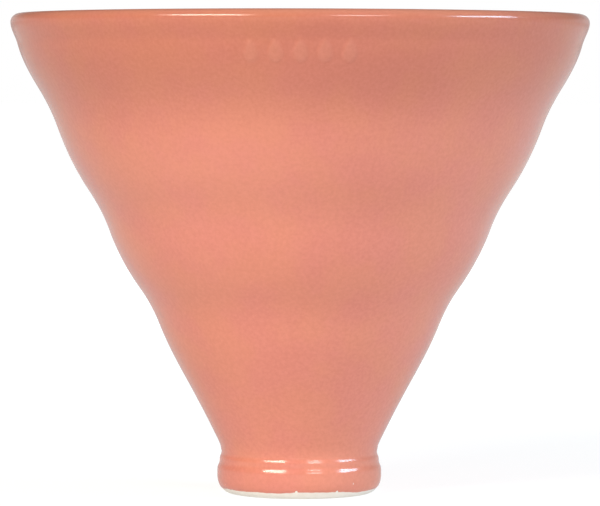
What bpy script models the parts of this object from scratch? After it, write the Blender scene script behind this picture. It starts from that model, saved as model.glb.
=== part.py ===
"""Pour-over coffee dripper: one fired, glazed ceramic cone, and the paper filter that it holds.

Metres, +Z up. The origin is the middle of the foot's underside, on the surface it stands on.
The ceramic cone is a single solid, as slip-cast ware is. The paper filter stands inside it on
the crests of spiral ribs, and lifts straight up and out along +Z.
"""
import math

import bmesh
import bpy

MM = 0.001

# Ceramic cone, outside. Each wall knot is (height, radius, slope of radius with height), at the
# places where the soft turned rings are steepest and flattest.
HEIGHT = 96.2 * MM
RIM_RADIUS = 58.0 * MM
WALL_KNOTS = (
    (12.0 * MM, 16.86 * MM, 0.483),
    (24.0 * MM, 23.12 * MM, 0.549),
    (34.0 * MM, 27.97 * MM, 0.398),
    (41.0 * MM, 31.77 * MM, 0.722),
    (53.0 * MM, 38.19 * MM, 0.360),
    (61.0 * MM, 42.37 * MM, 0.669),
    (73.5 * MM, 48.57 * MM, 0.359),
    (81.3 * MM, 52.40 * MM, 0.614),
    (90.0 * MM, 56.51 * MM, 0.263),
    (94.4 * MM, RIM_RADIUS, 0.050),
)
ROWS_PER_KNOT = 2

# Rolled lip: an elliptical edge, wider inside than outside.
LIP_TOP_RADIUS = 56.1 * MM
LIP_INNER_RADIUS = 53.9 * MM
LIP_INNER_HEIGHT = 94.0 * MM
LIP_STEPS = 3

# Neck and foot collar below the cone.
NECK_RADIUS = 15.5 * MM
NECK_HEIGHT = 8.5 * MM
COLLAR_RADIUS = 16.35 * MM
COLLAR_TOP = 4.9 * MM
FLARE_STEPS = 4
FOOT_EDGE_HEIGHT = 3.6 * MM
FOOT_CONTACT_RADIUS = 13.8 * MM
FOOT_EDGE_STEPS = 4

# Inside: the rib crests lie on a 60 degree cone, which fits a standard conical paper.
CONE_SLOPE = math.tan(math.radians(30.0))
CREST_APEX = 2.5 * MM
BORE_RADIUS = 11.0 * MM
BORE_EDGE = 0.8 * MM
RIB_COUNT = 12
RIB_TOP_RADIUS = 50.0 * MM
RIB_FADE_RADIUS = 52.3 * MM
RIB_DEPTH_TOP = 2.0 * MM
RIB_DEPTH_THROAT = 2.9 * MM
RIB_TURN = math.radians(90.0)
RIB_ROWS = 13
COLUMNS_PER_RIB = (0.0, 0.1, 0.3, 0.5, 0.7, 0.9)
COLUMNS = RIB_COUNT * len(COLUMNS_PER_RIB)

# Paper filter for one or two cups: a 60 degree cone with a folded, blunt tip.
PAPER_SLANT = 95.0 * MM
PAPER_THICKNESS = 0.3 * MM
PAPER_GAP = 0.35 * MM
PAPER_TIP_RADIUS = 2.4 * MM
PAPER_TIP_DROP = 1.2 * MM
PAPER_COLUMNS = 48

# Colours (linear), roughness
CORAL_GLAZE = ((0.66, 0.21, 0.145, 1.0), 0.3)
FILTER_PAPER = ((0.83, 0.79, 0.71, 1.0), 0.9)


def principled(name, colour, roughness):
    """A plain non-metallic Principled material."""
    material = bpy.data.materials.new(name)
    material.use_nodes = True
    shader = material.node_tree.nodes["Principled BSDF"]
    shader.inputs["Base Color"].default_value = colour
    shader.inputs["Roughness"].default_value = roughness
    shader.inputs["Metallic"].default_value = 0.0
    material.diffuse_color = colour
    return material


def add_object(name, mesh, finish):
    """Link a finished mesh into the scene as one named, smooth-shaded object."""
    mesh.materials.append(principled(name + "_finish", *finish))
    mesh.shade_smooth()
    mesh.set_sharp_from_angle(angle=math.radians(35.0))
    thing = bpy.data.objects.new(name, mesh)
    bpy.context.scene.collection.objects.link(thing)
    return thing


def ease(share):
    """0 to 1 with level ends, as half a cosine wave."""
    return 0.5 - 0.5 * math.cos(math.pi * share)


def elliptical_arc(centre, reach, start, end, steps):
    """(radius, height) points on an ellipse, without the first one; angles from +radius."""
    points = []
    for step in range(1, steps + 1):
        angle = start + (end - start) * step / steps
        points.append((centre[0] + reach[0] * math.cos(angle), centre[1] + reach[1] * math.sin(angle)))
    return points


def wall_span(low, high, steps):
    """Points of the cubic from one wall knot to the next, without the first one."""
    span = high[0] - low[0]
    points = []
    for step in range(1, steps + 1):
        t = step / steps
        radius = (
            (2 * t**3 - 3 * t**2 + 1) * low[1]
            + (t**3 - 2 * t**2 + t) * span * low[2]
            + (3 * t**2 - 2 * t**3) * high[1]
            + (t**3 - t**2) * span * high[2]
        )
        points.append((radius, low[0] + t * span))
    return points


def outer_profile():
    """(radius, height) from the foot's contact circle up the outside to the top of the lip."""
    edge_width = COLLAR_RADIUS - FOOT_CONTACT_RADIUS
    points = [(FOOT_CONTACT_RADIUS, 0.0)]
    points += elliptical_arc(
        (FOOT_CONTACT_RADIUS, FOOT_EDGE_HEIGHT), (edge_width, FOOT_EDGE_HEIGHT),
        -math.pi / 2, 0.0, FOOT_EDGE_STEPS)
    for step in range(FLARE_STEPS + 1):
        share = step / FLARE_STEPS
        radius = COLLAR_RADIUS + (NECK_RADIUS - COLLAR_RADIUS) * ease(share)
        points.append((radius, COLLAR_TOP + (NECK_HEIGHT - COLLAR_TOP) * share))
    neck = (NECK_HEIGHT, NECK_RADIUS, 0.0)
    for low, high in zip((neck,) + WALL_KNOTS[:-1], WALL_KNOTS):
        points += wall_span(low, high, ROWS_PER_KNOT)
    points += elliptical_arc(
        (LIP_TOP_RADIUS, WALL_KNOTS[-1][0]), (RIM_RADIUS - LIP_TOP_RADIUS, HEIGHT - WALL_KNOTS[-1][0]),
        0.0, math.pi / 2, LIP_STEPS)
    return points


def rib_depth(radius):
    """How far the wall between two ribs lies behind their crests, level with a crest radius."""
    share = (radius - BORE_RADIUS) / (RIB_TOP_RADIUS - BORE_RADIUS)
    return RIB_DEPTH_THROAT + (RIB_DEPTH_TOP - RIB_DEPTH_THROAT) * share


def rib_rings():
    """(crest radius, wall radius, height, turn) down the ribs, evenly spaced in turn."""
    shrink = BORE_RADIUS / RIB_TOP_RADIUS
    rings = []
    for row in range(RIB_ROWS):
        share = row / (RIB_ROWS - 1)
        crest = RIB_TOP_RADIUS * shrink**share
        height = CREST_APEX + crest / CONE_SLOPE
        rings.append((crest, crest + rib_depth(crest), height, RIB_TURN * share))
    return rings


def inner_rings():
    """(crest radius, wall radius, height, turn) from the lip down the inside to the foot."""
    rings = []
    for radius, height in elliptical_arc(
            (LIP_TOP_RADIUS, LIP_INNER_HEIGHT),
            (LIP_TOP_RADIUS - LIP_INNER_RADIUS, HEIGHT - LIP_INNER_HEIGHT),
            math.pi / 2, math.pi, LIP_STEPS):
        rings.append((radius, radius, height, 0.0))
    fade_height = CREST_APEX + RIB_FADE_RADIUS / CONE_SLOPE
    fade_wall = RIB_FADE_RADIUS + rib_depth(RIB_FADE_RADIUS)
    rings.append((fade_wall, fade_wall, fade_height, 0.0))
    rings += rib_rings()
    throat_height = rings[-1][2] - rib_depth(BORE_RADIUS) / CONE_SLOPE
    rings.append((BORE_RADIUS, BORE_RADIUS, throat_height, RIB_TURN))
    rings.append((BORE_RADIUS, BORE_RADIUS, BORE_EDGE, RIB_TURN))
    rings.append((BORE_RADIUS + BORE_EDGE, BORE_RADIUS + BORE_EDGE, 0.0, RIB_TURN))
    return rings


def add_ring(bm, crest, wall, height, turn):
    """One closed ring of vertices: the first column of each rib is its crest."""
    ring = []
    pitch = 2 * math.pi / RIB_COUNT
    for rib in range(RIB_COUNT):
        for place in COLUMNS_PER_RIB:
            angle = turn + pitch * (rib + place)
            radius = crest if place == 0.0 else wall
            ring.append(bm.verts.new((radius * math.cos(angle), radius * math.sin(angle), height)))
    return ring


def bridge(bm, lower, upper, shift=0):
    """Quads between two rings with the same number of vertices."""
    count = len(lower)
    for i in range(count):
        j = (i + 1) % count
        bm.faces.new((lower[i], lower[j], upper[(j + shift) % count], upper[(i + shift) % count]))


def finish_mesh(bm, name):
    """Split the quads, turn every face outward and return the mesh."""
    bmesh.ops.triangulate(bm, faces=bm.faces[:], quad_method="SHORT_EDGE")
    bmesh.ops.recalc_face_normals(bm, faces=bm.faces[:])
    mesh = bpy.data.meshes.new(name)
    bm.to_mesh(mesh)
    bm.free()
    return mesh


def make_ceramic_cone():
    """The whole ceramic dripper: foot, neck, ringed cone, lip, spiral ribs and outlet bore."""
    bm = bmesh.new()
    rings = [add_ring(bm, radius, radius, height, 0.0) for radius, height in outer_profile()]
    rings += [add_ring(bm, *ring) for ring in inner_rings()]
    for lower, upper in zip(rings, rings[1:]):
        bridge(bm, lower, upper)
    turned_columns = round(RIB_TURN / (2 * math.pi) * COLUMNS)
    bridge(bm, rings[-1], rings[0], shift=turned_columns)
    return add_object("ceramic_cone", finish_mesh(bm, "ceramic_cone"), CORAL_GLAZE)


def paper_ring(bm, radius, height):
    """One ring of the paper cone, round the joint's axis."""
    step = 2 * math.pi / PAPER_COLUMNS
    return [
        bm.verts.new((radius * math.cos(i * step), radius * math.sin(i * step), height))
        for i in range(PAPER_COLUMNS)
    ]


def close_tip(bm, ring, height):
    """A fan of triangles from a ring to a point on the axis."""
    tip = bm.verts.new((0.0, 0.0, height))
    for i, corner in enumerate(ring):
        bm.faces.new((corner, ring[(i + 1) % len(ring)], tip))


def make_paper_filter():
    """The paper: an open cone, a constant gap inside the rib crests. Its origin is on the lift axis."""
    half_angle = math.atan(CONE_SLOPE)
    outer_apex = CREST_APEX + PAPER_GAP / math.sin(half_angle)
    inner_apex = outer_apex + PAPER_THICKNESS / math.sin(half_angle)
    top_height = outer_apex + PAPER_SLANT * math.cos(half_angle)
    tip_height = outer_apex + PAPER_TIP_RADIUS / CONE_SLOPE
    bm = bmesh.new()
    rings = []
    for apex, rise in ((outer_apex, 0.0), (inner_apex, PAPER_THICKNESS)):
        top = paper_ring(bm, (top_height - apex) * CONE_SLOPE, top_height)
        tip = paper_ring(bm, (tip_height + rise - apex) * CONE_SLOPE, tip_height + rise)
        bridge(bm, tip, top)
        close_tip(bm, tip, tip_height + rise - PAPER_TIP_DROP)
        rings.append(top)
    bridge(bm, rings[0], rings[1])
    return add_object("paper_filter", finish_mesh(bm, "paper_filter"), FILTER_PAPER)


def main():
    for thing in list(bpy.data.objects):
        bpy.data.objects.remove(thing, do_unlink=True)
    make_ceramic_cone()
    make_paper_filter()


main()
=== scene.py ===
"""Looks for the pour-over dripper: the glazed ceramic cone and the paper filter inside it.

Everything is in metres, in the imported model's frame: +Z up, origin under the middle of the foot.
The front, where the relief mark is, faces -Y.
"""
import math

import bpy
import numpy as np
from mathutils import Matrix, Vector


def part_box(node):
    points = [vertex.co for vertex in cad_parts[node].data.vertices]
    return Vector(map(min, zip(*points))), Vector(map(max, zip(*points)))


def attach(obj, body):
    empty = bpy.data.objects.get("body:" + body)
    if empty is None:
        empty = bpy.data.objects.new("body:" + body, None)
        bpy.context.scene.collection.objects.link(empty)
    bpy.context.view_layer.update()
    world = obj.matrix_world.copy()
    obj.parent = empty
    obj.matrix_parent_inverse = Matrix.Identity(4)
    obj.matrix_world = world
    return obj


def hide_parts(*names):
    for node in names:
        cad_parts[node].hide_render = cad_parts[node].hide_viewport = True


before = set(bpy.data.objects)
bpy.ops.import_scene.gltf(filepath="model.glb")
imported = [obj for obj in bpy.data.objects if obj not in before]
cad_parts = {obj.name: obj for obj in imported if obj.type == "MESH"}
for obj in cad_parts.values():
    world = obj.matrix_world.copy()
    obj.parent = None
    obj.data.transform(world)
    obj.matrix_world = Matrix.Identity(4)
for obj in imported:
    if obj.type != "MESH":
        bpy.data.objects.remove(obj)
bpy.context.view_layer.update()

MM = 0.001
CONE_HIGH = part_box("ceramic_cone")[1]
PAPER_LOW, PAPER_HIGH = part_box("paper_filter")
FRONT = -math.pi / 2

# Ceramic cone, outside. Knots are (height, radius, slope of radius with height).
HEIGHT = CONE_HIGH.z
RIM_RADIUS = CONE_HIGH.x
FOOT_CONTACT_RADIUS = 13.8 * MM
FOOT_EDGE_HEIGHT = 3.6 * MM
COLLAR_KNOTS = (
    (FOOT_EDGE_HEIGHT, 16.35 * MM, 0.0),
    (4.7 * MM, 16.34 * MM, -0.05),
    (5.3 * MM, 16.24 * MM, -0.38),
    (5.85 * MM, 16.01 * MM, -0.44),
    (6.8 * MM, 15.84 * MM, -0.06),
    (7.3 * MM, 15.76 * MM, -0.38),
    (7.75 * MM, 15.58 * MM, -0.42),
    (8.4 * MM, 15.50 * MM, 0.03),
)
WALL_KNOTS = (
    (12.0 * MM, 16.86 * MM, 0.483),
    (24.0 * MM, 23.12 * MM, 0.549),
    (34.0 * MM, 27.97 * MM, 0.398),
    (41.0 * MM, 31.77 * MM, 0.722),
    (53.0 * MM, 38.19 * MM, 0.360),
    (61.0 * MM, 42.37 * MM, 0.669),
    (73.5 * MM, 48.57 * MM, 0.359),
    (81.3 * MM, 52.40 * MM, 0.614),
    (90.0 * MM, 56.51 * MM, 0.263),
    (94.4 * MM, RIM_RADIUS, 0.050),
)
LIP_TOP_RADIUS = 56.1 * MM
LIP_INNER_RADIUS = 53.9 * MM
LIP_INNER_HEIGHT = 94.0 * MM

# Rows of the profile: steps in its round edges, and spacing along the collar and the wall. The
# rows are closer above one of the wall's knots, where the relief mark is.
FOOT_EDGE_STEPS = 20
COLLAR_SPACING = 0.15 * MM
WALL_SPACING = 1.1 * MM
MARK_KNOT = 7
MARK_SPACING = 0.4 * MM
LIP_STEPS = 12
# The inside starts just past the crown of the lip, in degrees round the inner edge's ellipse.
LIP_INNER_START = 94

# Ceramic cone, inside.
CONE_SLOPE = math.tan(math.radians(30.0))
CREST_APEX = 2.5 * MM
BORE_RADIUS = 11.0 * MM
BORE_EDGE = 0.8 * MM
BORE_EDGE_STEPS = 6
BORE_TOP = 10.0 * MM
BORE_ROWS = 15
RIB_COUNT = 12
RIB_TURN = math.radians(90.0)
RIB_TOP_RADIUS = 50.0 * MM
RIB_START_RADIUS = 52.3 * MM
RIB_DEPTH_TOP = 2.0 * MM
RIB_DEPTH_THROAT = 2.9 * MM
SHORT_RIB_END = 27.0 * MM
SHORT_RIB_FADE = 5.0 * MM
# A rib rises from the wall over this much crest radius, and is wider where the cone is.
RIB_RISE = 2.6 * MM
RIB_HALF_WIDTH = 0.95 * MM
RIB_WIDENING = 0.026
# Rows down the ribs: even ones near their upper ends, then closer and closer to the throat.
RIB_UPPER_RADIUS = 47.0 * MM
RIB_UPPER_ROWS = 13
RIB_LOWER_ROWS = 61
# The ribs' ends are rounded off where they run out into the bore: by how much, over which height
# above the bore's top that fades away, below which height it is used, and over which it sets in.
THROAT_SOFTNESS = 0.7 * MM
THROAT_FADE = 6.5 * MM
THROAT_TOP = 30 * MM
THROAT_BLEND = 8 * MM

# Columns outside: fine ones round the relief mark, so that it is real geometry. Columns inside:
# their places across a rib, as shares of the pitch.
COARSE_STEP = math.radians(1.3)
FINE_STEP = math.radians(0.36)
FINE_HALF_ANGLE = math.radians(13.5)
RIB_SIDE = (0.042, 0.085, 0.13, 0.18, 0.24, 0.34)
RIB_COLUMNS = tuple(-share for share in reversed(RIB_SIDE)) + (0.0,) + RIB_SIDE + (0.5,)

# Relief mark: a row of drops under the lip, softened by the glaze.
DROP_COUNT = 5
DROP_PITCH = 4.7 * MM
DROP_HALF_WIDTH = 1.55 * MM
DROP_HEIGHT = 4.6 * MM
DROP_BOTTOM = 86.2 * MM
DROP_RELIEF = 0.16 * MM
DROP_EDGE = 0.75 * MM
# The share of that soft edge that lies outside the drop's outline.
DROP_EDGE_OUTSIDE = 0.2

# Slow wander of the slip-cast wall: size, waves round, start, and twist in radians a metre up.
CAST_WAVES = (
    (0.060 * MM, 2, 1.1, 18),
    (0.040 * MM, 3, 0.0, -31),
    (0.012 * MM, 9, 0.0, 260),
    (0.009 * MM, 14, 0.0, -410),
)
# It sets in above the foot over these heights, and ends this far under the lip.
CAST_HEIGHTS = (10 * MM, 30 * MM)
CAST_LIP_MARGIN = 4 * MM

# Glaze edge on the foot: its height, and its waves as size, waves round and start.
GLAZE_LINE = 1.2 * MM
GLAZE_WAVES = (
    (0.18 * MM, 2, -math.pi / 2),
    (0.10 * MM, 5, 1.9),
    (0.05 * MM, 11, 0.0),
)
GLAZE_THICKNESS = 0.12 * MM
GLAZE_COAT = 0.18 * MM
GLAZE_COAT_HEIGHTS = (25 * MM, 70 * MM)
GLAZE_ROLL = 0.35 * MM
# Heights above the glaze line that stand for bare clay and for a full coat inside.
BARE = -2 * MM
COVERED = 10 * MM
# Inside, the clay is bare below this share of the bore's rounded edge.
BARE_EDGE_SHARE = 0.6
# How thin the glaze is, and so how pale, over the drops, the lip and the ribs: 1 is thinnest.
DROP_THINNESS = 0.2
LIP_THINNESS = 0.5
RIB_THINNESS = 0.55
PINHOLE_RADIUS = 0.22 * MM
PINHOLE_DEPTH = 0.4 * MM
# Degrees round from the front, and height in millimetres.
PINHOLES = ((-65, 2.2), (-2, 1.6), (28, 1.5), (41, 2.9), (118, 2.3), (197, 3.1))

# Painted shade, darker towards the lip: the heights between which it turns, and its tint.
LIP_SHADE_HEIGHTS = (64 * MM, 91 * MM)
LIP_SHADE_TINT = (0.79, 0.74, 0.68, 1)
# Faint patches, pinker and more orange, a centimetre or so across.
PATCH_SCALE = 85.0
PINK_PATCH = (0.985, 0.960, 1.010, 1)
ORANGE_PATCH = (1.0, 1.015, 0.970, 1)

# Colours: the glaze, where it is thin, and the clay; the paper, where it is doubled, and its crepe.
CORAL_TONES = ((0.690, 0.235, 0.160, 1), (0.770, 0.278, 0.200, 1))
THIN_GLAZE = (0.82, 0.40, 0.28, 1)
CLAY_TONES = ((0.86, 0.81, 0.72, 1), (0.96, 0.93, 0.87, 1))
PAPER_TONES = ((0.76, 0.70, 0.62, 1), (0.85, 0.80, 0.73, 1))
DOUBLED_PAPER = (0.93, 0.90, 0.85, 1)
CREPE_LINE = (0.70, 0.66, 0.58, 1)
# How far each of these takes over from the colour under it.
THIN_SHARE = 0.5
DOUBLED_SHARE = 0.75
CREPE_SHARE = 0.25
CREPE_STRETCH = (1.0, 0.16, 1.0)
GLAZE_ROUGHNESS = (0.15, 0.20)
CLAY_ROUGHNESS = 0.8
PAPER_ROUGHNESS = 0.88

# Paper filter: a folded 60 degree cone. Slant distances run from its outer apex.
HALF_ANGLE = math.radians(30.0)
PAPER_APEX = 3.2 * MM
PAPER_SHEET = 0.24 * MM
PAPER_CLEARANCE = 0.03 * MM
PAPER_TIP_SLANT = 4.8 * MM
PAPER_TOP_SLANT = (PAPER_HIGH.z - PAPER_APEX) / math.cos(HALF_ANGLE)
PAPER_TIP_LOW = PAPER_LOW.z
SEAM_ANGLE = math.radians(62.0)
SEAM_WIDTH = 8.5 * MM
SEAM_START_SLANT = 11.0 * MM
SEAM_SINK = 0.05 * MM
CRIMP_PITCH = 2.0 * MM
CRIMP_DEPTH = 0.22 * MM
CRIMP_MARGIN = 1.3 * MM
# The crimped band fades in over this share of its margin either side of it, and its teeth are cut
# from a sine wave this steep.
CRIMP_FADE = 0.2
CRIMP_STEEPNESS = 0.9
CREASE_ANGLE = SEAM_ANGLE + math.pi
CREASE_RELIEF = 0.24 * MM
CREASE_REACH = 1.6 * MM
# The crease has a hollow on either side: its share of the relief, and its place in reaches. It is
# full above this share of the slant.
CREASE_HOLLOW = 0.6
CREASE_HOLLOW_PLACE = 3
CREASE_FULL_SHARE = 0.25
# How far the opened sheet waves inwards at its top, and its waves as size, waves round, start, and
# twist from tip to top.
PAPER_WAVE = 0.42 * MM
PAPER_WAVES = ((0.3, 3, 2.0, -4), (0.2, 7, 0.0, 5))
# How uneven the trimmed edge is, where that starts, and the power with which it fades below.
PAPER_TRIM = 0.35 * MM
PAPER_TRIM_START = 0.6
PAPER_TRIM_POWER = 12
# Rows and columns of the sheet: rows grow apart upwards, and columns are fine at the crease.
PAPER_ROWS = 58
PAPER_ROW_POWER = 1.15
PAPER_FINE_HALF_ANGLE = 0.12
PAPER_FINE_STEP = 0.012
PAPER_COARSE_STEP = 0.032
# The rounding of the tip, in degrees from the sheet down to the axis.
NOSE_TURNS = (18.0, 36.0, 54.0, 70.0, 82.0)
# Places across the seam, closer at its edges and at the edges of its crimped band.
SEAM_PLACES = (0.0, 0.02, 0.08, 0.16, 0.2, 0.35, 0.5, 0.65, 0.8, 0.84, 0.92, 0.98, 1.0)
SEAM_TOP_MARGIN = 0.2 * MM
# The seam stands this many sheets off the cone, and this many more towards its free edge.
SEAM_LIFT = 1.15
SEAM_FREE_LIFT = 0.9
SEAM_FREE_EDGE = 2.2 * MM
ROWS_PER_CRIMP = 8


def smoothstep(value):
    """0 to 1 with level ends, clipped outside."""
    value = np.clip(value, 0.0, 1.0)
    return value * value * (3.0 - 2.0 * value)


def turn_from(angle, centre):
    """Signed angle from the centre, within half a turn either way."""
    return np.mod(angle - centre + math.pi, 2 * math.pi) - math.pi


def knot_curve(knots, step):
    """(radius, height) rows along cubics through the knots, about step apart, without the last."""
    rows = []
    for low, high in zip(knots, knots[1:]):
        span = high[0] - low[0]
        count = max(2, round(span / step))
        for i in range(count):
            t = i / count
            radius = (
                (2 * t**3 - 3 * t**2 + 1) * low[1]
                + (t**3 - 2 * t**2 + t) * span * low[2]
                + (3 * t**2 - 2 * t**3) * high[1]
                + (t**3 - t**2) * span * high[2]
            )
            rows.append((radius, low[0] + t * span))
    return rows


def elliptical_rows(centre, reach, start, end, steps):
    """(radius, height) rows on an elliptical arc, both ends included; angles from +radius."""
    angles = np.linspace(math.radians(start), math.radians(end), steps + 1)
    return [
        (centre[0] + reach[0] * math.cos(a), centre[1] + reach[1] * math.sin(a)) for a in angles]


def outer_rows():
    """The outside profile from the foot's contact circle up to the top of the lip."""
    edge = (COLLAR_KNOTS[0][1] - FOOT_CONTACT_RADIUS, FOOT_EDGE_HEIGHT)
    rows = elliptical_rows(
        (FOOT_CONTACT_RADIUS, FOOT_EDGE_HEIGHT), edge, -90, 0, FOOT_EDGE_STEPS)[:-1]
    rows += knot_curve(COLLAR_KNOTS, COLLAR_SPACING)
    rows += knot_curve((COLLAR_KNOTS[-1],) + WALL_KNOTS[:MARK_KNOT + 1], WALL_SPACING)
    rows += knot_curve(WALL_KNOTS[MARK_KNOT:], MARK_SPACING)
    lip_base = WALL_KNOTS[-1][0]
    reach = (RIM_RADIUS - LIP_TOP_RADIUS, HEIGHT - lip_base)
    rows += elliptical_rows((LIP_TOP_RADIUS, lip_base), reach, 0, 90, LIP_STEPS)
    return np.array(rows)


def graded_angles(centre, half_angle, fine_step, coarse_step):
    """Column angles for a whole turn: fine within half_angle of the centre, coarser elsewhere."""
    turn = np.linspace(-math.pi, math.pi, 20001)
    share = smoothstep((np.abs(turn) - half_angle) / half_angle)
    density = 1.0 / (fine_step + (coarse_step - fine_step) * share)
    count = np.concatenate(([0.0], np.cumsum((density[1:] + density[:-1]) / 2 * np.diff(turn))))
    columns = 2 * math.ceil(count[-1] / 2)
    return centre + np.interp(np.arange(columns) / columns * count[-1], count, turn)


def drop_relief(angle, height):
    """How far the drops of the relief mark stand out, for grids of angle and height."""
    across = (angle - FRONT) * WALL_KNOTS[-2][1]
    nearest = np.clip(np.round(across / DROP_PITCH), -(DROP_COUNT // 2), DROP_COUNT // 2)
    across = np.abs(across - nearest * DROP_PITCH)
    rise = np.clip((height - DROP_BOTTOM) / DROP_HEIGHT, 0.0, 1.0)
    # sqrt(rise) * (1 - rise) is greatest at a third of the height.
    widest = math.sqrt(1 / 3) * 2 / 3
    half_width = DROP_HALF_WIDTH * np.sqrt(rise) * (1.0 - rise) / widest
    inside = smoothstep((half_width - across) / DROP_EDGE + DROP_EDGE_OUTSIDE)
    return inside * ((rise > 0.0) & (rise < 1.0))


def glaze_line(angle):
    """Height of the wavy lower edge of the glaze round the foot."""
    return GLAZE_LINE + sum(
        size * np.sin(waves * angle + start) for size, waves, start in GLAZE_WAVES)


def pinholes(angle, height):
    """0 to 1 where small pinholes open the glaze near the foot."""
    holes = np.zeros_like(height)
    # Each hole is open out to half its radius, and gone by one and a half.
    for turn, rise in PINHOLES:
        across = turn_from(angle, FRONT + math.radians(turn))
        away = np.hypot(across * COLLAR_KNOTS[0][1], height - rise * MM)
        holes = np.maximum(holes, smoothstep(1.5 - away / PINHOLE_RADIUS))
    return holes


def cast_unevenness(angle, height):
    """Slow wander of a slip-cast wall away from a true circle, in metres."""
    return sum(
        size * np.sin(waves * angle + start + twist * height)
        for size, waves, start, twist in CAST_WAVES)


def outer_surface():
    """Points, glaze height and thinness of the whole outside."""
    rows = outer_rows()
    columns = graded_angles(FRONT, FINE_HALF_ANGLE, FINE_STEP, COARSE_STEP)
    angle, radius = np.meshgrid(columns, rows[:, 0])
    height = np.meshgrid(columns, rows[:, 1])[1]
    above_line = height - glaze_line(angle)
    above_line = above_line - pinholes(angle, height) * (above_line + PINHOLE_DEPTH)
    relief = drop_relief(angle, height)
    low, high = CAST_HEIGHTS
    body = smoothstep((height - low) / (high - low))
    body = body * smoothstep((HEIGHT - height) / CAST_LIP_MARGIN)
    low, high = GLAZE_COAT_HEIGHTS
    coat = GLAZE_COAT * smoothstep((high - height) / (high - low))
    radius = radius + coat + DROP_RELIEF * relief + cast_unevenness(angle, height) * body
    radius = radius - GLAZE_THICKNESS * (1.0 - smoothstep(above_line / GLAZE_ROLL)) * (height > 0)
    lip = smoothstep((height - WALL_KNOTS[-1][0]) / (HEIGHT - WALL_KNOTS[-1][0]))
    thin = np.maximum(relief * DROP_THINNESS, lip * LIP_THINNESS)
    return polar_points(radius, angle, height), above_line, thin


def polar_points(radius, angle, height):
    """Grid of x, y, z from grids of radius, angle and height."""
    return np.stack((radius * np.cos(angle), radius * np.sin(angle), height), axis=-1)


def rib_depth(crest):
    """How far the wall between two ribs lies behind a crest of that radius."""
    share = np.clip((crest - BORE_RADIUS) / (RIB_TOP_RADIUS - BORE_RADIUS), 0.0, 1.1)
    return RIB_DEPTH_THROAT + (RIB_DEPTH_TOP - RIB_DEPTH_THROAT) * share


def inner_rows():
    """(wall radius, height) rows from the lip down the inside to the underside of the foot."""
    lip = elliptical_rows(
        (LIP_TOP_RADIUS, LIP_INNER_HEIGHT),
        (LIP_TOP_RADIUS - LIP_INNER_RADIUS, HEIGHT - LIP_INNER_HEIGHT),
        LIP_INNER_START, 180, LIP_STEPS)
    start_height = CREST_APEX + RIB_START_RADIUS / CONE_SLOPE
    lip.append((RIB_START_RADIUS + rib_depth(RIB_START_RADIUS), start_height))
    throat_crest = BORE_RADIUS - RIB_DEPTH_THROAT
    crest = np.concatenate((
        np.linspace(RIB_START_RADIUS, RIB_UPPER_RADIUS, RIB_UPPER_ROWS + 1)[1:],
        np.geomspace(RIB_UPPER_RADIUS, throat_crest, RIB_LOWER_ROWS + 1)[1:]))
    ribbed = np.stack((crest + rib_depth(crest), CREST_APEX + crest / CONE_SLOPE), axis=-1)
    bore_heights = np.linspace(ribbed[-1, 1], BORE_EDGE, BORE_ROWS + 1)[1:]
    bore = np.stack((np.full(BORE_ROWS, BORE_RADIUS), bore_heights), axis=-1)
    edge = elliptical_rows(
        (BORE_RADIUS + BORE_EDGE, BORE_EDGE), (BORE_EDGE, BORE_EDGE), 180, 270, BORE_EDGE_STEPS)
    return np.concatenate((np.array(lip), ribbed, bore, np.array(edge[1:])))


def rib_turn(crest):
    """How far round the ribs have turned at a crest radius, evenly in its logarithm."""
    turned = np.log(RIB_TOP_RADIUS / np.minimum(crest, RIB_TOP_RADIUS))
    return RIB_TURN * turned / math.log(RIB_TOP_RADIUS / BORE_RADIUS)


def soften_throat(radius, height):
    """Radii no smaller than the bore's, with the ribs' ends rounded off where they reach it."""
    gap = radius - BORE_RADIUS
    softness = THROAT_SOFTNESS * smoothstep((height - BORE_TOP) / THROAT_FADE)
    softened = BORE_RADIUS + 0.5 * (gap + np.sqrt(gap * gap + softness * softness))
    return radius + (softened - radius) * smoothstep((THROAT_TOP - height) / THROAT_BLEND)


def inner_surface():
    """Points, glaze height and thinness of the inside, from the lip to the underside of the foot.

    Columns turn with the spiral ribs. Every second rib is short and fades out halfway down.
    """
    rows = inner_rows()
    wall, height = rows[:, :1], rows[:, 1:]
    crest = np.clip((height - CREST_APEX) * CONE_SLOPE, BORE_RADIUS, None)

    pitch = math.pi / RIB_COUNT
    offsets = np.array(RIB_COLUMNS) * pitch
    base = (np.arange(2 * RIB_COUNT)[:, None] * pitch + offsets).ravel()
    across = np.abs(np.tile(offsets, 2 * RIB_COUNT))
    is_long = (np.repeat(np.arange(2 * RIB_COUNT), len(offsets)) % 2) == 0

    half_width = RIB_HALF_WIDTH + RIB_WIDENING * crest
    shape = 0.5 + 0.5 * np.cos(math.pi * np.clip(across * crest / half_width, 0, 1))
    start = smoothstep((RIB_START_RADIUS - crest) / RIB_RISE)
    fade = smoothstep((crest - SHORT_RIB_END) / SHORT_RIB_FADE)
    shape = shape * np.where(is_long, start, start * fade)
    radius = soften_throat(wall - shape * rib_depth(crest), height)
    radius = np.where(height > BORE_TOP, radius, wall)
    height = np.repeat(height, len(base), axis=1)
    above_line = np.where(height < BORE_EDGE * BARE_EDGE_SHARE, BARE, COVERED)
    return polar_points(radius, base + rib_turn(crest), height), above_line, shape * RIB_THINNESS


def grid_faces(first, rows, columns):
    """Quads of a closed tube of vertices, row by row from index first."""
    row = np.arange(rows - 1)[:, None] * columns
    here = np.arange(columns)[None, :]
    left, right = row + here, row + (here + 1) % columns
    quads = np.stack((left, right, right + columns, left + columns), -1)
    return (quads.reshape(-1, 4) + first).tolist()


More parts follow.
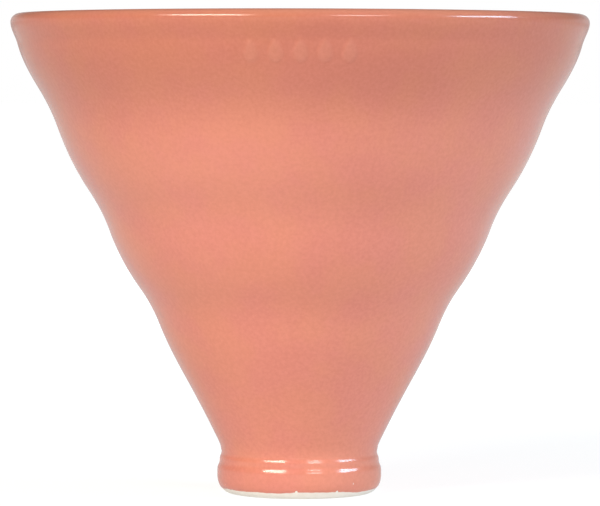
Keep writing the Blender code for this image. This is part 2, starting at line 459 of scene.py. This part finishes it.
def stitch_rings(first, first_angles, second, second_angles):
    """Triangles between two closed rings with different numbers of vertices, both turning left."""
    def unrolled(angles):
        start = int(np.argmin(np.mod(angles, 2 * math.pi)))
        order = np.roll(np.arange(len(angles)), -start)
        turned = np.mod(angles[order], 2 * math.pi)
        return np.append(order, order[0]), np.append(turned, turned[0] + 2 * math.pi)

    order_a, turn_a = unrolled(first_angles)
    order_b, turn_b = unrolled(second_angles)
    faces, i, j = [], 0, 0
    while i < len(order_a) - 1 or j < len(order_b) - 1:
        step_a = i < len(order_a) - 1 and (j == len(order_b) - 1 or turn_a[i + 1] <= turn_b[j + 1])
        if step_a:
            faces.append((first + order_a[i], first + order_a[i + 1], second + order_b[j]))
            i += 1
        else:
            faces.append((first + order_a[i], second + order_b[j + 1], second + order_b[j]))
            j += 1
    return [tuple(int(v) for v in face) for face in faces]


def ring_angles(ring):
    """Angle of each point of a ring."""
    return np.arctan2(ring[:, 1], ring[:, 0])


def mesh_object(name, points, faces, attributes):
    """A smooth mesh with one attribute per name, a number or a vector, linked into the scene."""
    mesh = bpy.data.meshes.new(name)
    mesh.from_pydata(points.tolist(), [], faces)
    for key, values in attributes.items():
        kind, field = ("FLOAT_VECTOR", "vector") if values.ndim == 2 else ("FLOAT", "value")
        layer = mesh.attributes.new(key, kind, "POINT")
        layer.data.foreach_set(field, values.astype(np.float32).ravel())
    mesh.shade_smooth()
    thing = bpy.data.objects.new(name, mesh)
    bpy.context.scene.collection.objects.link(thing)
    return thing


def make_dripper():
    """The glazed ceramic cone as one closed mesh."""
    outer, outer_line, outer_thin = outer_surface()
    inner, inner_line, inner_thin = inner_surface()
    outer_rows_n, outer_n = outer.shape[:2]
    inner_rows_n, inner_n = inner.shape[:2]
    inner_first = outer_rows_n * outer_n
    faces = grid_faces(0, outer_rows_n, outer_n)
    faces += grid_faces(inner_first, inner_rows_n, inner_n)
    faces += stitch_rings(
        inner_first - outer_n, ring_angles(outer[-1]), inner_first, ring_angles(inner[0]))
    last_ring = inner_first + (inner_rows_n - 1) * inner_n
    faces += stitch_rings(last_ring, ring_angles(inner[-1]), 0, ring_angles(outer[0]))
    points = np.concatenate((outer.reshape(-1, 3), inner.reshape(-1, 3)))
    above_line = np.concatenate((outer_line.ravel(), inner_line.ravel())) / MM
    thin = np.concatenate((outer_thin.ravel(), inner_thin.ravel()))
    dripper = mesh_object("glazed_dripper", points, faces, {"above_line": above_line, "thin": thin})
    dripper.data.materials.append(glaze_material())
    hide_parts("ceramic_cone")
    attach(dripper, "dripper")


# ---------------------------------------------------------------------------------------------
# Paper filter


def paper_bend(angle, slant):
    """How far the opened paper lies inside a true cone: slow waves and a ridge on the crease."""
    share = slant / PAPER_TOP_SLANT
    sway = 0.5 + sum(
        size * np.sin(waves * angle + start + twist * share)
        for size, waves, start, twist in PAPER_WAVES)
    across = np.abs(turn_from(angle, CREASE_ANGLE)) * slant * math.sin(HALF_ANGLE)
    fold = np.exp(-across / CREASE_REACH)
    hollow = np.exp(-((across / CREASE_REACH - CREASE_HOLLOW_PLACE) ** 2))
    ridge = CREASE_RELIEF * (fold - CREASE_HOLLOW * hollow)
    return PAPER_WAVE * sway * share**2 - ridge * smoothstep(share / CREASE_FULL_SHARE)


def paper_points(angle, slant, depth):
    """Points on the paper cone, depth inwards from its outer face."""
    radius = slant * math.sin(HALF_ANGLE) - depth * math.cos(HALF_ANGLE)
    height = PAPER_APEX + slant * math.cos(HALF_ANGLE) + depth * math.sin(HALF_ANGLE)
    return polar_points(radius, angle, height)


def sheet_place(angle, slant):
    """Where a point lay on the flat folded sheet, measured from the tip along the crease."""
    turn = np.abs(turn_from(angle, CREASE_ANGLE)) * math.sin(HALF_ANGLE)
    return np.stack((slant * np.cos(turn), slant * np.sin(turn), 0 * slant), axis=-1)


def cone_sheet():
    """Rings of the paper cone, up the outside and down the inside, with their flat places."""
    columns = graded_angles(
        CREASE_ANGLE, PAPER_FINE_HALF_ANGLE, PAPER_FINE_STEP, PAPER_COARSE_STEP)
    rise = np.linspace(0.0, 1.0, PAPER_ROWS)
    rows = PAPER_TIP_SLANT + (PAPER_TOP_SLANT - PAPER_TIP_SLANT) * rise**PAPER_ROW_POWER
    angle, slant = np.meshgrid(columns, rows)
    trim = PAPER_TRIM * np.sin(2 * angle + PAPER_TRIM_START)
    trim = trim * (slant / PAPER_TOP_SLANT) ** PAPER_TRIM_POWER
    slant = slant - np.abs(trim)
    bend = paper_bend(angle, slant)
    outer = paper_points(angle, slant, bend + PAPER_CLEARANCE)
    inner = paper_points(angle, slant, bend + PAPER_CLEARANCE + PAPER_SHEET)
    places = sheet_place(angle, slant)
    points = np.concatenate((outer, inner[::-1]))
    return points, np.concatenate((places, places[::-1])), len(columns)


def nose_rings(ring, low):
    """Rings that round off the tip below a ring, each smaller and lower, down to its axis."""
    rings = []
    for turn in np.radians(NOSE_TURNS):
        smaller = ring * (math.cos(turn), math.cos(turn), 1.0)
        smaller[:, 2] += (low - ring[:, 2]) * math.sin(turn)
        rings.append(smaller)
    return rings


def seam_flap():
    """The crimped seam: a narrow strip of doubled paper that lies against the inside of the cone.

    Returns its inner face and its underside as two grids, which run the same way.
    """
    top = PAPER_TOP_SLANT - SEAM_TOP_MARGIN
    slant = np.arange(SEAM_START_SLANT, top, CRIMP_PITCH / ROWS_PER_CRIMP)
    width, slant = np.meshgrid(SEAM_WIDTH * np.array(SEAM_PLACES), slant)
    angle = SEAM_ANGLE - width / (slant * math.sin(HALF_ANGLE))
    base = paper_bend(angle, slant) + PAPER_CLEARANCE + PAPER_SHEET
    inset = np.minimum(width, SEAM_WIDTH - width)
    crimped = smoothstep((inset / CRIMP_MARGIN - 1 + CRIMP_FADE) / (2 * CRIMP_FADE))
    teeth = smoothstep(0.5 + CRIMP_STEEPNESS * np.sin(2 * math.pi * slant / CRIMP_PITCH))
    free_edge = smoothstep(1 - (SEAM_WIDTH - width) / SEAM_FREE_EDGE)
    lift = PAPER_SHEET * (SEAM_LIFT + SEAM_FREE_LIFT * free_edge)
    face = paper_points(angle, slant, base + lift - CRIMP_DEPTH * crimped * teeth)
    under = paper_points(angle, slant, base - SEAM_SINK)
    return face, under, sheet_place(angle, slant)


def flap_faces(first, rows, columns):
    """Quads of a thin closed slab: face grid from index first, underside grid straight after it."""
    face = first + np.arange(rows * columns).reshape(rows, columns)
    under = face + rows * columns
    faces = []
    for grid in (face, under[:, ::-1]):
        quads = np.stack((grid[:-1, :-1], grid[:-1, 1:], grid[1:, 1:], grid[1:, :-1]), -1)
        faces += quads.reshape(-1, 4).tolist()
    rim = np.concatenate((face[0, :], face[1:, -1], face[-1, -2::-1], face[-2:0:-1, 0]))
    following = np.roll(rim, -1)
    shift = rows * columns
    faces += np.stack((rim + shift, following + shift, following, rim), -1).tolist()
    return faces


def make_filter():
    """The paper filter: a thin two-sided cone with a rounded tip, a crease and a crimped seam."""
    grid, places, columns = cone_sheet()
    inner_low = PAPER_TIP_LOW + PAPER_SHEET
    start = nose_rings(grid[0], PAPER_TIP_LOW)[::-1]
    end = nose_rings(grid[-1], inner_low)
    rings = np.concatenate((np.array(start), grid, np.array(end)))
    tip_places = np.zeros((len(start), columns, 3))
    places = np.concatenate((tip_places, places, tip_places))
    face, under, flap_places = seam_flap()

    first_flap = rings.shape[0] * columns
    flap_size = face.shape[0] * face.shape[1]
    low_tip = first_flap + 2 * flap_size
    faces = grid_faces(0, rings.shape[0], columns)
    faces += flap_faces(first_flap, *face.shape[:2])
    faces += [(low_tip, (i + 1) % columns, i) for i in range(columns)]
    last = first_flap - columns
    faces += [(low_tip + 1, last + i, last + (i + 1) % columns) for i in range(columns)]

    tips = np.array(((0.0, 0.0, PAPER_TIP_LOW), (0.0, 0.0, inner_low)))
    points = np.concatenate((rings.reshape(-1, 3), face.reshape(-1, 3), under.reshape(-1, 3), tips))
    flap_places = flap_places.reshape(-1, 3)
    sheet = np.concatenate((places.reshape(-1, 3), flap_places, flap_places, 0 * tips))
    doubled = np.zeros(len(points))
    doubled[first_flap:low_tip] = 1.0
    paper = mesh_object("paper_cone", points, faces, {"sheet": sheet, "doubled": doubled})
    paper.data.set_sharp_from_angle(angle=math.radians(50.0))
    paper.data.materials.append(paper_material())
    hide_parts("paper_filter")
    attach(paper, "filter")


# ---------------------------------------------------------------------------------------------
# Materials


class Nodes:
    """Short calls for building a node tree."""

    def __init__(self, tree):
        self.tree = tree

    def add(self, kind, inputs=None, **settings):
        node = self.tree.nodes.new(kind)
        for key, value in settings.items():
            setattr(node, key, value)
        for key, value in (inputs or {}).items():
            self.put(value, node.inputs[key])
        return node

    def put(self, value, socket):
        if isinstance(value, bpy.types.NodeSocket):
            self.tree.links.new(value, socket)
        else:
            socket.default_value = value

    def math(self, operation, first, second=0.0, clamp=False):
        node = self.add("ShaderNodeMath", operation=operation, use_clamp=clamp)
        self.put(first, node.inputs[0])
        self.put(second, node.inputs[1])
        return node.outputs[0]

    def between(self, value, low, high, start=0.0, end=1.0):
        """value mapped from low..high to start..end, smoothly and clipped."""
        node = self.add("ShaderNodeMapRange", interpolation_type="SMOOTHSTEP")
        given = {"Value": value, "From Min": low, "From Max": high, "To Min": start, "To Max": end}
        for key, setting in given.items():
            self.put(setting, node.inputs[key])
        return node.outputs["Result"]

    def mix(self, share, first, second, **settings):
        node = self.add("ShaderNodeMix", data_type="RGBA", **settings)
        self.put(share, node.inputs["Factor"])
        self.put(first, node.inputs[6])
        self.put(second, node.inputs[7])
        return node.outputs[2]

    def weighted(self, first, first_share, second, second_share):
        """first and second, each times its share, added up."""
        first = self.math("MULTIPLY", first, first_share)
        return self.math("ADD", first, self.math("MULTIPLY", second, second_share))

    def noise(self, place, scale, detail=2.0, roughness=0.5):
        inputs = {"Vector": place, "Scale": scale, "Detail": detail, "Roughness": roughness}
        return self.add("ShaderNodeTexNoise", inputs).outputs["Fac"]


def new_material(name):
    material = bpy.data.materials.new(name)
    material.use_nodes = True
    nodes = Nodes(material.node_tree)
    return material, nodes, material.node_tree.nodes["Principled BSDF"]


def glaze_material():
    """Coral glaze over off-white clay, which is bare below the glaze line and in a few pinholes."""
    material, nodes, shader = new_material("coral_glaze")
    place = nodes.add("ShaderNodeTexCoord").outputs["Object"]
    above = nodes.add("ShaderNodeAttribute", attribute_name="above_line").outputs["Fac"]
    thin = nodes.add("ShaderNodeAttribute", attribute_name="thin").outputs["Fac"]

    cloud = nodes.noise(place, 28.0, 2.0)
    mottle = nodes.noise(place, 1400.0, 3.0, 0.6)
    tone = nodes.weighted(cloud, 0.4, mottle, 0.6)
    coral = nodes.mix(nodes.between(tone, 0.25, 0.75), *CORAL_TONES)
    height = nodes.add("ShaderNodeSeparateXYZ", {"Vector": place}).outputs["Z"]
    # Painted shade: the coral is darkened towards the lip.
    lip_shade = nodes.mix(nodes.between(height, *LIP_SHADE_HEIGHTS), (1, 1, 1, 1), LIP_SHADE_TINT)
    coral = nodes.mix(1.0, coral, lip_shade, blend_type="MULTIPLY")
    patch = nodes.between(nodes.noise(place, PATCH_SCALE, 3.0), 0.36, 0.64)
    patches = nodes.mix(patch, PINK_PATCH, ORANGE_PATCH)
    coral = nodes.mix(1.0, coral, patches, blend_type="MULTIPLY")
    coral = nodes.mix(nodes.math("MULTIPLY", thin, THIN_SHARE), coral, THIN_GLAZE)
    clay = nodes.mix(nodes.noise(place, 900.0, 3.0), *CLAY_TONES)

    ragged = nodes.math("MULTIPLY_ADD", nodes.noise(place, 700.0, 3.0), 0.3)
    ragged.node.inputs[2].default_value = -0.15
    covered = nodes.between(nodes.math("ADD", above, ragged), -0.08, 0.10)
    shader.inputs["IOR"].default_value = 1.5
    nodes.put(nodes.mix(covered, clay, coral), shader.inputs["Base Color"])
    gloss = nodes.between(nodes.noise(place, 260.0, 2.0), 0.3, 0.7, *GLAZE_ROUGHNESS)
    rough = nodes.add("ShaderNodeMix", data_type="FLOAT")
    nodes.put(covered, rough.inputs[0])
    nodes.put(CLAY_ROUGHNESS, rough.inputs[2])
    nodes.put(gloss, rough.inputs[3])
    nodes.put(rough.outputs[0], shader.inputs["Roughness"])

    peel = nodes.noise(place, 300.0, 2.0)
    bump = nodes.add("ShaderNodeBump", {"Height": peel, "Strength": 0.12, "Distance": 0.0002})
    nodes.put(bump.outputs["Normal"], shader.inputs["Normal"])
    return material


def paper_material():
    """White filter paper: fine crepe lines across the sheet, and a felt of fibres."""
    material, nodes, shader = new_material("filter_paper")
    place = nodes.add("ShaderNodeTexCoord").outputs["Object"]
    sheet = nodes.add("ShaderNodeAttribute", attribute_name="sheet").outputs["Vector"]
    stretch = nodes.add("ShaderNodeMapping", {"Vector": sheet, "Scale": CREPE_STRETCH})
    crepe = nodes.noise(stretch.outputs["Vector"], 1500.0, 3.0, 0.55)
    fibres = nodes.noise(place, 1800.0, 4.0, 0.65)
    cloud = nodes.noise(place, 260.0, 3.0, 0.6)

    tone = nodes.weighted(cloud, 0.5, fibres, 0.5)
    doubled = nodes.add("ShaderNodeAttribute", attribute_name="doubled").outputs["Fac"]
    white = nodes.mix(nodes.between(tone, 0.36, 0.64), *PAPER_TONES)
    white = nodes.mix(nodes.math("MULTIPLY", doubled, DOUBLED_SHARE), white, DOUBLED_PAPER)
    lines = nodes.math("MULTIPLY", nodes.between(crepe, 0.5, 0.7), CREPE_SHARE)
    white = nodes.mix(lines, white, CREPE_LINE)
    nodes.put(white, shader.inputs["Base Color"])
    shader.inputs["Roughness"].default_value = PAPER_ROUGHNESS
    shader.inputs["Specular IOR Level"].default_value = 0.25
    height = nodes.weighted(crepe, 0.7, fibres, 0.3)
    bump = nodes.add("ShaderNodeBump", {"Height": height, "Strength": 0.55, "Distance": 0.0003})
    nodes.put(bump.outputs["Normal"], shader.inputs["Normal"])
    return material


# ---------------------------------------------------------------------------------------------
# Stage, light and camera

CAMERA_DISTANCE = 784 * MM
CAMERA_HEIGHT = 81.1 * MM
CAMERA_TILT = math.radians(2.402)
CAMERA_ROLL = math.radians(-0.12)
CAMERA_LENS = 234.0
SKY_LIGHT = 0.08
HORIZON_LIGHT = 0.62
HORIZON_BAND = (0.05, 0.35)
SEEN_SKY = 1.0
FLOOR_REACH = 20.0
FLOOR_GAP = 0.02 * MM
FLOOR_BASE = 0.3
FLOOR_GLOW = 0.49
SEEN_FLOOR_GLOW = (0.80, 0.98)
SEEN_FLOOR_REACH = 0.7
LIGHT_DISTANCE = 1.2

# Softboxes: name, azimuth from the camera's side, elevation (degrees), size (m), power (W), colour,
# and whether the glaze reflects it. The two fills that it doesn't reflect only soften shade.
SOFTBOXES = (
    ("key_left", -40, 36, (0.60, 0.20), 9.6, (1.0, 0.94, 0.80), True),
    ("key_front", 24, 31, (0.38, 0.10), 2.5, (1.0, 0.94, 0.95), True),
    ("fill_right", 81, 29, (0.60, 0.20), 7.7, (0.56, 0.80, 1.0), True),
    ("fill_front", 0, 0, (0.90, 0.25), 4.5, (1.0, 0.90, 0.82), False),
    ("fill_back", 180, 20, (0.90, 0.40), 5.0, (1.0, 0.97, 0.93), False),
)


def make_floor():
    """A plain pale floor that glows a little, like a lit white sweep."""
    mesh = bpy.data.meshes.new("floor")
    sides = ((-1, -1), (1, -1), (1, 1), (-1, 1))
    corners = [(x * FLOOR_REACH, y * FLOOR_REACH, -FLOOR_GAP) for x, y in sides]
    mesh.from_pydata(corners, [], [(0, 1, 2, 3)])
    floor = bpy.data.objects.new("floor", mesh)
    bpy.context.scene.collection.objects.link(floor)
    material, nodes, shader = new_material("white_floor")
    shader.inputs["Base Color"].default_value = (FLOOR_BASE, FLOOR_BASE, FLOOR_BASE, 1)
    shader.inputs["Roughness"].default_value = 0.9
    shader.inputs["Specular IOR Level"].default_value = 0.0
    shader.inputs["Emission Color"].default_value = (1, 1, 1, 1)
    place = nodes.add("ShaderNodeTexCoord").outputs["Object"]
    away = nodes.add("ShaderNodeVectorMath", {0: place}, operation="LENGTH").outputs["Value"]
    pale = nodes.between(away, 0.0, SEEN_FLOOR_REACH, *SEEN_FLOOR_GLOW)
    seen = nodes.add("ShaderNodeLightPath").outputs["Is Camera Ray"]
    nodes.put(nodes.between(seen, 0.0, 1.0, FLOOR_GLOW, pale), shader.inputs["Emission Strength"])
    mesh.materials.append(material)


def make_world():
    """A white room: brighter near the horizon, like a lit sweep, and plain white when seen."""
    world = bpy.data.worlds.new("studio")
    bpy.context.scene.world = world
    world.use_nodes = True
    nodes = Nodes(world.node_tree)
    seen = nodes.add("ShaderNodeLightPath").outputs["Is Camera Ray"]
    direction = nodes.add("ShaderNodeTexCoord").outputs["Generated"]
    rise = nodes.add("ShaderNodeSeparateXYZ", {"Vector": direction}).outputs["Z"]
    light = nodes.between(rise, *HORIZON_BAND, HORIZON_LIGHT, SKY_LIGHT)
    sky = world.node_tree.nodes["Background"]
    sky.inputs["Color"].default_value = (1, 1, 1, 1)
    nodes.put(nodes.between(seen, 0.0, 1.0, light, SEEN_SKY), sky.inputs["Strength"])


def make_softbox(name, azimuth, elevation, size, power, colour, reflected):
    """A rectangular light that faces the dripper; azimuth 0 is the camera's side."""
    turn, rise = math.radians(azimuth), math.radians(elevation)
    light = bpy.data.lights.new(name, "AREA")
    light.shape = "RECTANGLE"
    light.size, light.size_y = size
    light.energy = power
    light.color = colour
    lamp = bpy.data.objects.new(name, light)
    lamp.location = (
        LIGHT_DISTANCE * math.cos(rise) * math.sin(turn),
        -LIGHT_DISTANCE * math.cos(rise) * math.cos(turn),
        LIGHT_DISTANCE * math.sin(rise) + HEIGHT / 2,
    )
    lamp.rotation_euler = (math.pi / 2 - rise, 0.0, turn)
    lamp.visible_glossy = reflected
    bpy.context.scene.collection.objects.link(lamp)


def make_camera():
    data = bpy.data.cameras.new("camera")
    data.sensor_width = 36.0
    data.lens = CAMERA_LENS
    data.clip_start, data.clip_end = 0.01, 100.0
    camera = bpy.data.objects.new("camera", data)
    camera.location = (0.0, -CAMERA_DISTANCE, CAMERA_HEIGHT)
    camera.rotation_euler = (math.pi / 2 - CAMERA_TILT, CAMERA_ROLL, 0.0)
    bpy.context.scene.collection.objects.link(camera)
    bpy.context.scene.camera = camera


make_dripper()
make_filter()
make_floor()
make_world()
for softbox in SOFTBOXES:
    make_softbox(*softbox)
make_camera()
bpy.context.scene.view_settings.view_transform = "Standard"
